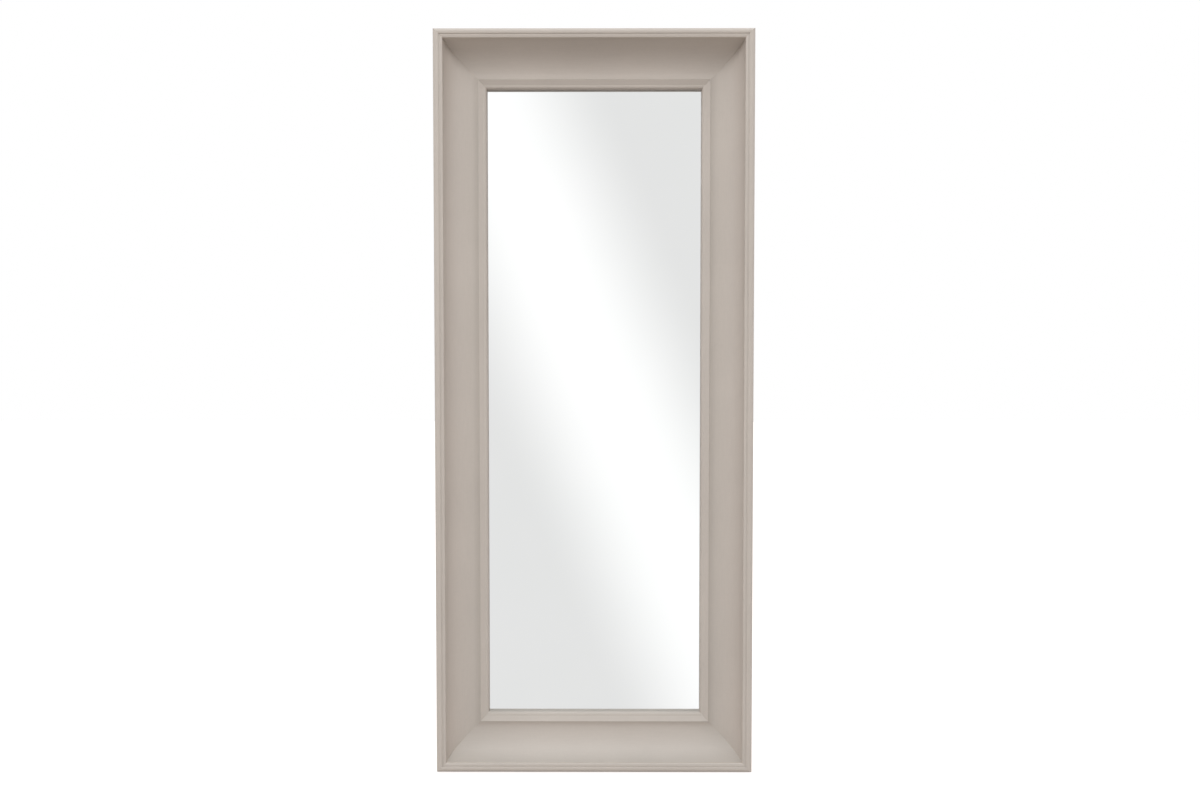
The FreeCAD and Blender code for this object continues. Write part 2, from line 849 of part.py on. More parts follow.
doc.recompute()
for thing in doc.Objects:
    if "Invalid" in thing.State or "Error" in thing.State:
        raise RuntimeError("failed: %s %s" % (thing.Label, thing.State))
for piece in pieces:
    if piece.Shape.isNull() or not piece.Shape.isValid():
        raise RuntimeError("bad shape: " + piece.Label)
for piece in pieces:
    piece.Shape.exportStep("parts/%s.step" % piece.Label)
    print("%-28s %2d solids %12.1f mm3" % (piece.Label, len(piece.Shape.Solids), piece.Shape.Volume))
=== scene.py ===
import json
import math

import bmesh
import bpy
from mathutils import Matrix, Vector


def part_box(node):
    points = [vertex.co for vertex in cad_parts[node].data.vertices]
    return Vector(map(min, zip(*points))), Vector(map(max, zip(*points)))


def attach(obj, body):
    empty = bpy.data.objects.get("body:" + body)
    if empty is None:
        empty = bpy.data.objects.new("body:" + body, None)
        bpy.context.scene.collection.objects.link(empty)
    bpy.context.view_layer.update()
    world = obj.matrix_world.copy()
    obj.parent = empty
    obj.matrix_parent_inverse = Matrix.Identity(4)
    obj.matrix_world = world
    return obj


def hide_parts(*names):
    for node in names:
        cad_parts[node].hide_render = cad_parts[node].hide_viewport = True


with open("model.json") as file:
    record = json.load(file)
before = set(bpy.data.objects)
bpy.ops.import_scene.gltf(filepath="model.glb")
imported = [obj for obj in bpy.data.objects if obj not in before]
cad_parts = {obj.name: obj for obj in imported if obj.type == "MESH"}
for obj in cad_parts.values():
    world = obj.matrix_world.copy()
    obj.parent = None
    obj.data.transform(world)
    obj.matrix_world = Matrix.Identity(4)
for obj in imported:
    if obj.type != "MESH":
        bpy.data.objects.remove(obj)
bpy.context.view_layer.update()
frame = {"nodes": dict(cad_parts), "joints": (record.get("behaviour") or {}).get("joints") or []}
mm = 0.001
hair = 0.01 * mm  # what counts as the same place

# the frame's own lines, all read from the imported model
frameLow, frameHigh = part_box("left_stile")[0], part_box("right_stile")[1]
frameMiddle = (frameLow + frameHigh) / 2
halfWide = (frameHigh.x - frameLow.x) / 2
halfHigh = (frameHigh.z - frameLow.z) / 2
legBack = frameHigh.y
pivots = {joint["child"]: Vector(joint["pos_m"]) for joint in frame["joints"]}
print("frame loaded:", len(frame["nodes"]), "nodes")


# Mesh helpers

def vertsOf(parts):
    return [part for part in parts if isinstance(part, bmesh.types.BMVert)]


def edgesOf(parts):
    return [part for part in parts if isinstance(part, bmesh.types.BMEdge)]


def finishPiece(node, bm, materials, body="frame", sharpDeg=32):
    # makes the object that stands for a node
    name = node.replace("_", "-")
    mesh = bpy.data.meshes.new(name)
    bm.to_mesh(mesh)
    bm.free()
    mesh.shade_smooth()
    mesh.set_sharp_from_angle(angle=math.radians(sharpDeg))
    for material in materials:
        mesh.materials.append(material)
    piece = bpy.data.objects.new(name, mesh)
    bpy.context.scene.collection.objects.link(piece)
    weighted = piece.modifiers.new("weighted", "WEIGHTED_NORMAL")
    weighted.keep_sharp = True
    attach(piece, body)
    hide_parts(node)


def lineTo(bm, tip, x, y):
    made = bmesh.ops.extrude_vert_indiv(bm, verts=[tip])
    end = made["verts"][0]
    end.co = (x, y, 0)
    return end


def arcTo(bm, tip, centreX, centreY, turn, steps):
    made = bmesh.ops.spin(
        bm, geom=[tip], cent=(centreX, centreY, 0), axis=(0, 0, 1), angle=turn, steps=steps,
        use_duplicate=False)
    return vertsOf(made["geom_last"])[0]


def throughTwo(x1, y1, x2, y2, radius, side):
    # centre of the arc from the first point to the second that lies on that side of the chord
    half = Vector(((x2 - x1) / 2, (y2 - y1) / 2))
    across = Vector((-half.y, half.x)).normalized() * side
    rise = math.sqrt(max(radius ** 2 - half.length ** 2, 0))
    return (x1 + x2) / 2 + across.x * rise, (y1 + y2) / 2 + across.y * rise


def arcBetween(bm, tip, x2, y2, radius, side, steps):
    x1, y1 = tip.co.x, tip.co.y
    centreX, centreY = throughTwo(x1, y1, x2, y2, radius, side)
    turn = math.atan2(y2 - centreY, x2 - centreX) - math.atan2(y1 - centreY, x1 - centreX)
    turn = (turn + math.pi) % (2 * math.pi) - math.pi
    return arcTo(bm, tip, centreX, centreY, turn, steps)


def weld(bm, near=0.001 * mm):
    bmesh.ops.remove_doubles(bm, verts=bm.verts[:], dist=near)


def closeOutline(bm):
    weld(bm)
    ends = [v for v in bm.verts if len(v.link_edges) == 1]
    if ends:
        bmesh.ops.contextual_create(bm, geom=ends)


def closeSection(bm, arris, steps, sharpDeg=25):
    # softens the outline's corners and fills it
    weld(bm)
    corners = []
    for v in bm.verts:
        a, b = [edge.other_vert(v).co - v.co for edge in v.link_edges]
        if math.degrees(a.angle(b)) < 180 - sharpDeg:
            corners.append(v)
    bmesh.ops.bevel(
        bm, geom=corners, offset=arris, affect="VERTICES", segments=steps, profile=0.5, material=-1,
        clamp_overlap=True)
    weld(bm, hair)
    bmesh.ops.contextual_create(bm, geom=bm.edges[:])


def softenEdges(bm, size, steps, keep=lambda edge: True, sharpDeg=60):
    # rounds the sharp outer edges that keep() allows
    rims = [
        edge for edge in bm.edges
        if edge.is_convex and math.degrees(edge.calc_face_angle(0)) > sharpDeg and keep(edge)
    ]
    bmesh.ops.bevel(
        bm, geom=rims, offset=size, affect="EDGES", segments=steps, profile=0.5, material=-1,
        clamp_overlap=True)


def thicken(bm, depth):
    # carries flat faces along Z into a solid
    made = bmesh.ops.extrude_face_region(bm, geom=bm.faces[:])
    bmesh.ops.translate(bm, verts=vertsOf(made["geom"]), vec=(0, 0, depth))


def raiseOutline(bm, thick, edge, steps, keep=lambda edge: True):
    # fills flat loops, holes left open, gives them thickness and rounds the edges
    bmesh.ops.triangle_fill(bm, edges=bm.edges[:], use_beauty=True, use_dissolve=True, normal=(0, 0, 1))
    thicken(bm, thick)
    bmesh.ops.recalc_face_normals(bm, faces=bm.faces[:])
    softenEdges(bm, edge, steps, keep)


def runMember(bm, length, gap):
    # extrudes the section along its run and cuts both mitres
    bmesh.ops.translate(bm, verts=bm.verts[:], vec=(0, 0, -length / 2))
    thicken(bm, length)
    for end in (1, -1):
        normal = Vector((1, 0, end)).normalized()
        onPlane = Vector((0, 0, end * length / 2)) - normal * gap
        cut = bmesh.ops.bisect_plane(
            bm, geom=bm.verts[:] + bm.edges[:] + bm.faces[:], dist=0.0001 * mm, plane_co=onPlane,
            plane_no=normal, clear_outer=True)
        bmesh.ops.contextual_create(bm, geom=edgesOf(cut["geom_cut"]))
    bmesh.ops.recalc_face_normals(bm, faces=bm.faces[:])


# inward direction of each member as seen in the frame; its depth always runs to -Y
inwards = {
    "left": Vector((1, 0, 0)),
    "right": Vector((-1, 0, 0)),
    "bottom": Vector((0, 0, 1)),
    "top": Vector((0, 0, -1)),
}


def axes(x, y, z, origin):
    # a placement whose own axes point those ways
    turned = Matrix((Vector(x), Vector(y), Vector(z))).transposed().to_4x4()
    return Matrix.Translation(origin) @ turned


def placeMember(bm, side):
    inward = inwards[side]
    forward = Vector((0, -1, 0))
    start = Vector((frameMiddle.x, legBack, frameMiddle.z)) - Vector(
        (inward.x * halfWide, 0, inward.z * halfHigh))
    place = axes(inward, forward, inward.cross(forward), start)
    bmesh.ops.transform(bm, matrix=place, verts=bm.verts[:])


def placeAt(bm, place):
    bmesh.ops.transform(bm, matrix=place, verts=bm.verts[:])
    bmesh.ops.recalc_face_normals(bm, faces=bm.faces[:])


def repeatAt(template, places):
    # one mesh that holds the template at every place
    group = bmesh.new()
    for place in places:
        copied = template.copy()
        bmesh.ops.transform(copied, matrix=place, verts=copied.verts[:])
        mesh = bpy.data.meshes.new("copied")
        copied.to_mesh(mesh)
        copied.free()
        group.from_mesh(mesh)
        bpy.data.meshes.remove(mesh)
    template.free()
    bmesh.ops.recalc_face_normals(group, faces=group.faces[:])
    return group


# Node helpers

def feed(tree, socket, value):
    if isinstance(value, bpy.types.NodeSocket):
        tree.links.new(value, socket)
    elif value is not None:
        socket.default_value = value


def putNode(tree, kind, inputs=None, **settings):
    node = tree.nodes.new("ShaderNode" + kind)
    for name, value in settings.items():
        setattr(node, name, value)
    for socket, value in (inputs or {}).items():
        feed(tree, node.inputs[socket], value)
    return node


def maths(tree, operation, a, b=None):
    return putNode(tree, "Math", {0: a, 1: b}, operation=operation).outputs[0]


def times(tree, product, *factors):
    for factor in factors:
        product = maths(tree, "MULTIPLY", product, factor)
    return product


def weigh(tree, a, shareA, b, shareB):
    # a share of one value plus a share of the other
    return maths(tree, "ADD", times(tree, a, shareA), times(tree, b, shareB))


def between(tree, factor, a, b):
    return putNode(tree, "Mix", {0: factor, 2: a, 3: b}).outputs[0]


def blend(tree, factor, a, b):
    # the same for two colours
    return putNode(tree, "Mix", {0: factor, 6: a, 7: b}, data_type="RGBA").outputs[2]


def coordinates(tree, vector):
    return putNode(tree, "SeparateXYZ", {0: vector}).outputs


def noise(tree, vector, scale, detail, roughness=0.5):
    inputs = {"Vector": vector, "Scale": scale, "Detail": detail, "Roughness": roughness}
    return putNode(tree, "TexNoise", inputs).outputs["Fac"]


def spread(tree, value, low, high, atLow=0.0, atHigh=1.0):
    inputs = {"Value": value, "From Min": low, "From Max": high, "To Min": atLow, "To Max": atHigh}
    return putNode(tree, "MapRange", inputs, interpolation_type="SMOOTHSTEP").outputs["Result"]


def stretch(tree, vector, scale, turn=(0, 0, 0)):
    inputs = {"Vector": vector, "Scale": scale, "Rotation": turn}
    return putNode(tree, "Mapping", inputs).outputs["Vector"]


def tone(tree, color, value):
    return putNode(tree, "HueSaturation", {"Color": color, "Value": value}).outputs["Color"]


def newGroup(name, inputs, outputs):
    group = bpy.data.node_groups.new(name, "ShaderNodeTree")
    for way, sockets in (("INPUT", inputs), ("OUTPUT", outputs)):
        for label, kind in sockets.items():
            group.interface.new_socket(name=label, in_out=way, socket_type="NodeSocket" + kind)
    given = group.nodes.new("NodeGroupInput").outputs
    return group, given, group.nodes.new("NodeGroupOutput").inputs


def useGroup(tree, group, inputs):
    node = tree.nodes.new("ShaderNodeGroup")
    node.node_tree = group
    for socket, value in inputs.items():
        feed(tree, node.inputs[socket], value)
    return node.outputs


def newMaterial(name):
    material = bpy.data.materials.new(name)
    material.use_nodes = True
    tree = material.node_tree
    where = putNode(tree, "TexCoord").outputs["Object"]
    return material, tree, tree.nodes["Principled BSDF"].inputs, where


def relief(tree, shader, height, distance):
    bump = putNode(tree, "Bump", {"Height": height, "Distance": distance})
    tree.links.new(bump.outputs["Normal"], shader["Normal"])


# Effects that several materials share

surface = {"Color": "Color", "Roughness": "Float", "Height": "Float"}


def makeFrameLines():
    # how far a point lies in from the frame's outer edge, and forward of the back of its outer leg
    group, given, out = newGroup(
        "frameLines", {"Vector": "Vector"},
        {"From Edge": "Float", "From Back": "Float", "On Rail": "Float"})
    split = coordinates(group, given["Vector"])
    sideways = maths(group, "ABSOLUTE", maths(group, "SUBTRACT", split[0], frameMiddle.x))
    upwards = maths(group, "ABSOLUTE", maths(group, "SUBTRACT", split[2], frameMiddle.z))
    nearSide = maths(group, "SUBTRACT", halfWide, sideways)
    nearEnd = maths(group, "SUBTRACT", halfHigh, upwards)
    feed(group, out["From Edge"], maths(group, "MINIMUM", nearSide, nearEnd))
    feed(group, out["On Rail"], maths(group, "LESS_THAN", nearEnd, nearSide))
    feed(group, out["From Back"], maths(group, "SUBTRACT", legBack, split[1]))
    return group


def makeSprayedPaint():
    # satin spray paint: a faint cloudiness, a fine orange peel and a slightly uneven sheen
    group, given, out = newGroup(
        "sprayedPaint", {"Vector": "Vector", "Paint": "Color", "Cloud": "Float"}, surface)
    cloud = noise(group, given["Vector"], 7.0, 3.0)
    fleck = noise(group, given["Vector"], 160.0, 2.0)
    centred = maths(group, "SUBTRACT", weigh(group, cloud, 0.7, fleck, 0.3), 0.5)
    level = maths(group, "ADD", 1.0, times(group, centred, given["Cloud"]))
    feed(group, out["Color"], tone(group, given["Paint"], level))
    feed(group, out["Roughness"], spread(group, fleck, 0.3, 0.7, 0.36, 0.46))
    feed(group, out["Height"], noise(group, given["Vector"], 420.0, 1.0))
    return group


def makeWoodGrain():
    # flat-sawn softwood whose grain runs along the vector's own Z
    group, given, out = newGroup(
        "woodGrain", {"Vector": "Vector", "Early": "Color", "Late": "Color"}, surface)
    drawn = stretch(group, given["Vector"], (1, 1, 0.07))
    bent = times(group, noise(group, drawn, 11.0, 3.0), 5.0)
    split = coordinates(group, drawn)
    across = times(group, maths(group, "ADD", split[0], times(group, split[1], 0.35)), 150.0)
    ring = maths(group, "FRACT", maths(group, "ADD", across, bent))
    late = spread(group, ring, 0.35, 0.95)
    fibre = noise(group, stretch(group, given["Vector"], (1, 1, 0.02)), 1500.0, 2.0)
    streak = noise(group, stretch(group, given["Vector"], (1, 1, 0.05)), 210.0, 2.0)
    mask = times(group, late, spread(group, streak, 0.3, 0.7, 0.35, 0.85))
    body = blend(group, mask, given["Early"], given["Late"])
    feed(group, out["Color"], tone(group, body, spread(group, fibre, 0.25, 0.75, 0.86, 1.08)))
    feed(group, out["Roughness"], spread(group, fibre, 0.3, 0.7, 0.58, 0.78))
    feed(group, out["Height"], weigh(group, fibre, 0.7, late, 0.3))
    return group


def makePlatedSteel():
    # plated sheet steel: soft clouds, a fine crystal pattern and drawn scratches
    group, given, out = newGroup(
        "platedSteel",
        {"Vector": "Vector", "Bright": "Color", "Dull": "Color",
         "Sheen Low": "Float", "Sheen High": "Float"},
        surface)
    cloud = noise(group, given["Vector"], 95.0, 3.0)
    crystal = putNode(group, "TexVoronoi", {"Vector": given["Vector"], "Scale": 900.0}).outputs["Color"]
    facet = putNode(group, "SeparateColor", {0: crystal}).outputs[0]
    drawn = stretch(group, given["Vector"], (1, 1, 0.03), (0.0, 0.6, 0.0))
    scratch = noise(group, drawn, 2600.0, 1.0)
    mask = spread(group, weigh(group, cloud, 0.85, facet, 0.15), 0.3, 0.72)
    feed(group, out["Color"], blend(group, mask, given["Dull"], given["Bright"]))
    sheen = weigh(group, spread(group, scratch, 0.35, 0.7), 0.5, mask, 0.5)
    span = maths(group, "SUBTRACT", given["Sheen High"], given["Sheen Low"])
    feed(group, out["Roughness"], maths(group, "ADD", given["Sheen Low"], times(group, sheen, span)))
    feed(group, out["Height"], scratch)
    return group


def makeSettledDust():
    # a thin veil on what faces up
    group, given, out = newGroup("settledDust", {"Vector": "Vector", "Amount": "Float"}, {"Mask": "Float"})
    facing = coordinates(group, putNode(group, "NewGeometry").outputs["Normal"])[2]
    flat = spread(group, facing, 0.35, 0.95)
    patch = spread(group, noise(group, given["Vector"], 70.0, 4.0), 0.3, 0.75, 0.45, 1.0)
    feed(group, out["Mask"], times(group, flat, patch, given["Amount"]))
    return group


frameLines = makeFrameLines()
sprayedPaint = makeSprayedPaint()
woodGrain = makeWoodGrain()
platedSteel = makePlatedSteel()
settledDust = makeSettledDust()
print("shared effects made")


# Materials

finish = {
    "taupe": (0.505, 0.457, 0.405, 1),
    "pineEarly": (0.66, 0.50, 0.33, 1),
    "pineLate": (0.47, 0.29, 0.15, 1),
    "overspray": 3.2 * mm,
    "oversprayRagged": 7 * mm,
    "hardboard": (0.235, 0.135, 0.075, 1),
    "hardboardPale": (0.33, 0.205, 0.12, 1),
    "meshPitch": 1.15 * mm,
    "zincBright": (0.74, 0.75, 0.76, 1),
    "zincDull": (0.50, 0.51, 0.52, 1),
    "nickelBright": (0.80, 0.78, 0.74, 1),
    "nickelDull": (0.62, 0.60, 0.56, 1),
    "screwBright": (0.72, 0.68, 0.55, 1),
    "screwDull": (0.50, 0.46, 0.34, 1),
    "steelBright": (0.60, 0.60, 0.60, 1),
    "steelDull": (0.36, 0.35, 0.34, 1),
    "rubber": (0.028, 0.028, 0.029, 1),
    "rubberWorn": (0.075, 0.075, 0.074, 1),
    "silver": (0.955, 0.965, 0.96, 1),
    "silverClear": (0.97, 0.975, 0.972, 1),
    "backing": (0.30, 0.31, 0.32, 1),
    "backingFrom": 3.4 * mm,
    "backingTo": 3.9 * mm,
    "dust": (0.55, 0.53, 0.50, 1),
    "dustOnPaint": 0.06,
    "dustOnWood": 0.35,
    "dustOnSteel": 0.12,
    "dustOnWire": 0.08,
    "dustOnRubber": 0.45,
}


def dusted(tree, where, color, amount):
    veil = useGroup(tree, settledDust, {"Vector": where, "Amount": amount})
    return blend(tree, veil["Mask"], color, finish["dust"])


def paintMaterial(name):
    material, tree, shader, where = newMaterial(name)
    coat = useGroup(tree, sprayedPaint, {"Vector": where, "Paint": finish["taupe"], "Cloud": 0.16})
    lines = useGroup(tree, frameLines, {"Vector": where})
    color = dusted(tree, where, coat["Color"], finish["dustOnPaint"])
    # the wood's grain shows faintly through the paint, along each member
    upright = noise(tree, stretch(tree, where, (1, 1, 0.03)), 950.0, 2.0)
    level = noise(tree, stretch(tree, where, (0.03, 1, 1)), 950.0, 2.0)
    grain = between(tree, lines["On Rail"], upright, level)
    feed(tree, shader["Base Color"], tone(tree, color, spread(tree, grain, 0.3, 0.7, 0.985, 1.012)))
    feed(tree, shader["Roughness"], coat["Roughness"])
    relief(tree, shader, weigh(tree, coat["Height"], 0.5, grain, 0.5), 0.022 * mm)
    shader["Specular IOR Level"].default_value = 0.42
    return material


def woodMaterial(name, turn):
    # bare softwood with the front's paint blown round its outer edge
    material, tree, shader, where = newMaterial(name)
    grain = useGroup(tree, woodGrain, {
        "Vector": stretch(tree, where, (1, 1, 1), turn), "Early": finish["pineEarly"],
        "Late": finish["pineLate"]})
    coat = useGroup(tree, sprayedPaint, {"Vector": where, "Paint": finish["taupe"], "Cloud": 0.2})
    lines = useGroup(tree, frameLines, {"Vector": where})
    centred = maths(tree, "SUBTRACT", noise(tree, where, 120.0, 4.0), 0.5)
    blown = maths(tree, "ADD", lines["From Edge"], times(tree, centred, finish["oversprayRagged"]))
    mist = spread(tree, blown, 0.4 * mm, finish["overspray"], 1.0, 0.0)
    onLeg = spread(tree, lines["From Back"], 1.0 * mm, 2.5 * mm, 1.0, 0.0)
    painted = times(tree, mist, onLeg)
    color = blend(tree, painted, grain["Color"], coat["Color"])
    feed(tree, shader["Base Color"], dusted(tree, where, color, finish["dustOnWood"]))
    feed(tree, shader["Roughness"], between(tree, painted, grain["Roughness"], coat["Roughness"]))
    relief(tree, shader, grain["Height"], 0.06 * mm)
    return material


def metalMaterial(name, metal, sheenLow, sheenHigh, dust=finish["dustOnSteel"]):
    material, tree, shader, where = newMaterial(name)
    steel = useGroup(tree, platedSteel, {
        "Vector": where, "Bright": finish[metal + "Bright"], "Dull": finish[metal + "Dull"],
        "Sheen Low": sheenLow, "Sheen High": sheenHigh})
    feed(tree, shader["Base Color"], dusted(tree, where, steel["Color"], dust))
    feed(tree, shader["Roughness"], steel["Roughness"])
    relief(tree, shader, steel["Height"], 0.01 * mm)
    shader["Metallic"].default_value = 1.0
    return material


def rubberMaterial(name):
    material, tree, shader, where = newMaterial(name)
    rub = noise(tree, where, 240.0, 4.0)
    color = blend(tree, spread(tree, rub, 0.5, 0.75), finish["rubber"], finish["rubberWorn"])
    feed(tree, shader["Base Color"], dusted(tree, where, color, finish["dustOnRubber"]))
    feed(tree, shader["Roughness"], spread(tree, rub, 0.3, 0.7, 0.62, 0.8))
    relief(tree, shader, noise(tree, where, 1800.0, 1.0), 0.05 * mm)
    return material


def mirrorMaterial(name, glassFront):
    # silvered glass in front, its dull grey backing paint behind
    material, tree, shader, where = newMaterial(name)
    depth = coordinates(tree, where)[1]
    behind = spread(tree, depth, glassFront + finish["backingFrom"], glassFront + finish["backingTo"])
    patchy = spread(tree, noise(tree, where, 40.0, 3.0), 0.3, 0.7, 0.9, 1.1)
    haze = spread(tree, noise(tree, where, 3.5, 3.0), 0.3, 0.7)
    silver = blend(tree, haze, finish["silver"], finish["silverClear"])
    feed(tree, shader["Base Color"], blend(tree, behind, silver, tone(tree, finish["backing"], patchy)))
    shader["Metallic"].default_value = 1.0
    wiped = noise(tree, stretch(tree, where, (1, 1, 0.3)), 14.0, 4.0)
    rough = maths(tree, "ADD", spread(tree, wiped, 0.35, 0.8, 0.004, 0.016), times(tree, behind, 0.6))
    feed(tree, shader["Roughness"], rough)
    return material


def hardboardMaterial(name):
    # pressed fibre with the press screen's fine weave on its back
    material, tree, shader, where = newMaterial(name)
    mottle = noise(tree, where, 26.0, 5.0, 0.6)
    fibre = noise(tree, where, 900.0, 3.0)
    split = coordinates(tree, where)
    step = 2 * math.pi / finish["meshPitch"]
    warp = maths(tree, "SINE", times(tree, split[0], step))
    weft = maths(tree, "SINE", times(tree, split[2], step))
    weave = times(tree, warp, weft)
    mask = spread(tree, weigh(tree, mottle, 0.25, fibre, 0.75), 0.3, 0.7)
    color = blend(tree, mask, finish["hardboard"], finish["hardboardPale"])
    feed(tree, shader["Base Color"], tone(tree, color, spread(tree, weave, -0.8, 0.8, 0.87, 1.08)))
    feed(tree, shader["Roughness"], spread(tree, fibre, 0.3, 0.7, 0.6, 0.8))
    relief(tree, shader, maths(tree, "ADD", times(tree, weave, 0.5), fibre), 0.17 * mm)
    return material


paint = paintMaterial("taupePaint")
woodUpright = woodMaterial("pineUpright", (0, 0, 0))
woodAcross = woodMaterial("pineAcross", (0, math.pi / 2, 0))
zincPlate = metalMaterial("zincPlate", "zinc", 0.26, 0.46)
zincTab = metalMaterial("zincTab", "zinc", 0.22, 0.40)
nickelWire = metalMaterial("nickelWire", "nickel", 0.12, 0.26, finish["dustOnWire"])
screwZinc = metalMaterial("screwZinc", "screw", 0.20, 0.36)
brightSteel = metalMaterial("brightSteel", "steel", 0.24, 0.44)
rubber = rubberMaterial("rubber")
silvered = mirrorMaterial("silveredGlass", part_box("mirror_glass")[0].y)
hardboard = hardboardMaterial("hardboard")
print("materials made")


# Scoop moulding

moulding = {
    "beadRadius": 8 * mm,
    "beadWidth": 11.4 * mm,
    "quirkDepth": 1.9 * mm,
    "quirkWidth": 2.6 * mm,
    "filletDrop": 1.5 * mm,
    "filletFall": 1.8 * mm,
    "lipWidth": 18.4 * mm,
    "lipRound": 2.2 * mm,
    "lipSlack": 1.05,
    "sightLip": 6.9 * mm,
    "crestRise": 2.3 * mm,
    "crestRun": 12 * mm,
    "tongueTop": 19.1 * mm,
    "outerLeg": 26 * mm,
    "innerLeg": 18 * mm,
    "legRecess": 5 * mm,
    "channelOuter": 18 * mm,
    "channelInner": 14 * mm,
    "channelRound": 0.62,
    "rebateWidth": 9 * mm,
    "arris": 0.3 * mm,
    "arrisSteps": 3,
    "beadSteps": 16,
    "crownSteps": 4,
    "lipSteps": 6,
    "coveSteps": 56,
    "crestSteps": 10,
    "channelSteps": 12,
    "mitreGap": 0.05 * mm,
    "backPaint": 0.4 * mm,
    "sidePaint": 0.6 * mm,
}


def mouldingSection(width, depth):
    m = moulding
    rebateWall = width - m["rebateWidth"]
    coveTop = depth - m["filletDrop"] - m["filletFall"]
    coveEnd = m["tongueTop"] + m["sightLip"]
    run, fall = width - m["lipWidth"], coveTop - coveEnd
    coveRadius = (run ** 2 + fall ** 2) / (2 * run)
    quirkFloor = depth - m["quirkDepth"]
    quirkOuter = m["beadWidth"]
    quirkInner = quirkOuter + m["quirkWidth"]
    crownDrop = m["beadRadius"] - math.sqrt(m["beadRadius"] ** 2 - (quirkOuter - m["beadRadius"]) ** 2)
    channelEnd = rebateWall - m["innerLeg"]
    chord = math.hypot(channelEnd - m["outerLeg"], m["channelOuter"] - m["channelInner"])
    bm = bmesh.new()
    first = bm.verts.new((0, depth - m["beadRadius"], 0))
    tip = lineTo(bm, first, 0, 0)
    tip = lineTo(bm, tip, m["outerLeg"], 0)
    tip = lineTo(bm, tip, m["outerLeg"], m["channelOuter"])
    roof = chord * m["channelRound"]
    tip = arcBetween(bm, tip, channelEnd, m["channelInner"], roof, -1, m["channelSteps"])
    tip = lineTo(bm, tip, channelEnd, m["legRecess"])
    tip = lineTo(bm, tip, rebateWall, m["legRecess"])
    tip = lineTo(bm, tip, rebateWall, m["tongueTop"])
    tip = lineTo(bm, tip, width, m["tongueTop"])
    tip = lineTo(bm, tip, width, coveEnd + m["crestRise"])
    # the cove turns up to a crest beside the slip
    turn = width - m["crestRun"]
    turnLevel = coveTop - math.sqrt(coveRadius ** 2 - (turn - m["lipWidth"] - coveRadius) ** 2)
    rise = coveEnd + m["crestRise"] - turnLevel
    crestRadius = (m["crestRun"] ** 2 + rise ** 2) / (2 * rise)
    tip = arcBetween(bm, tip, turn, turnLevel, crestRadius, -1, m["crestSteps"])
    # and leaves the fillet over a rounded edge
    edge = m["lipRound"]
    edgeWidth = m["lipWidth"] + coveRadius - math.sqrt(coveRadius ** 2 - edge ** 2)
    edgeTop = coveTop + edge * m["filletFall"] / (m["lipWidth"] - quirkInner)
    tip = arcBetween(bm, tip, edgeWidth, coveTop - edge, coveRadius, -1, m["coveSteps"])
    tip = arcBetween(bm, tip, m["lipWidth"] - edge, edgeTop, edge * m["lipSlack"], 1, m["lipSteps"])
    tip = lineTo(bm, tip, quirkInner, depth - m["filletDrop"])
    tip = lineTo(bm, tip, quirkInner, quirkFloor)
    tip = lineTo(bm, tip, quirkOuter, quirkFloor)
    tip = lineTo(bm, tip, quirkOuter, depth - crownDrop)
    tip = arcBetween(bm, tip, m["beadRadius"], depth, m["beadRadius"], 1, m["crownSteps"])
    arcBetween(bm, tip, 0, depth - m["beadRadius"], m["beadRadius"], 1, m["beadSteps"])
    closeSection(bm, m["arris"], m["arrisSteps"])
    return bm


def bareFaces(bm, width):
    # the back, the channel, the rebate and the mitres have no paint
    m = moulding
    for face in bm.faces:
        spot = face.calc_center_median()
        mitre = abs(face.normal.z) > 0.5
        back = spot.y < m["backPaint"] or face.normal.y < -0.05
        within = m["sidePaint"] < spot.x < width - m["arris"]
        inside = within and spot.y < m["tongueTop"] + 0.1 * mm
        face.material_index = 1 if mitre or back or inside else 0


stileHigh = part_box("left_stile")[1]
mouldingWide = stileHigh.x - frameLow.x
mouldingDeep = stileHigh.y - frameLow.y
for node, side, run, wood in (
    ("left_stile", "left", halfHigh * 2, woodUpright),
    ("right_stile", "right", halfHigh * 2, woodUpright),
    ("top_rail", "top", halfWide * 2, woodAcross),
    ("bottom_rail", "bottom", halfWide * 2, woodAcross),
):
    bm = mouldingSection(mouldingWide, mouldingDeep)
    runMember(bm, run, moulding["mitreGap"])
    bareFaces(bm, mouldingWide)
    placeMember(bm, side)
    finishPiece(node, bm, [paint, wood])
print("moulding made")


# Sight slips

slip = {
    "back": 12 * mm,
    "tongueThick": 7 * mm,
    "gap": 0.03 * mm,
    "step": 0.1 * mm,
    "slopeWidth": 9 * mm,
    "slopeFall": 5.4 * mm,
    "noseRadius": 6 * mm,
    "noseDrop": 6 * mm,
    "noseSteps": 14,
    "arris": 0.2 * mm,
    "arrisSteps": 2,
    "backArris": 0.9 * mm,
}


def slipSection(width):
    s = slip
    outer = mouldingWide + s["gap"]
    tongueOuter = mouldingWide - moulding["rebateWidth"] + s["gap"]
    top = moulding["tongueTop"] + moulding["sightLip"] + moulding["crestRise"] - s["step"]
    slopeEnd = outer + s["slopeWidth"]
    slopeFoot = top - s["slopeFall"]
    bm = bmesh.new()
    first = bm.verts.new((tongueOuter, s["back"], 0))
    tip = lineTo(bm, first, width - s["backArris"], s["back"])
    tip = lineTo(bm, tip, width, s["back"] + s["backArris"])
    tip = lineTo(bm, tip, width, slopeFoot - s["noseDrop"])
    tip = arcBetween(bm, tip, slopeEnd, slopeFoot, s["noseRadius"], 1, s["noseSteps"])
    tip = lineTo(bm, tip, outer, top)
    tip = lineTo(bm, tip, outer, s["back"] + s["tongueThick"])
    tip = lineTo(bm, tip, tongueOuter, s["back"] + s["tongueThick"])
    lineTo(bm, tip, tongueOuter, s["back"])
    closeSection(bm, s["arris"], s["arrisSteps"])
    return bm


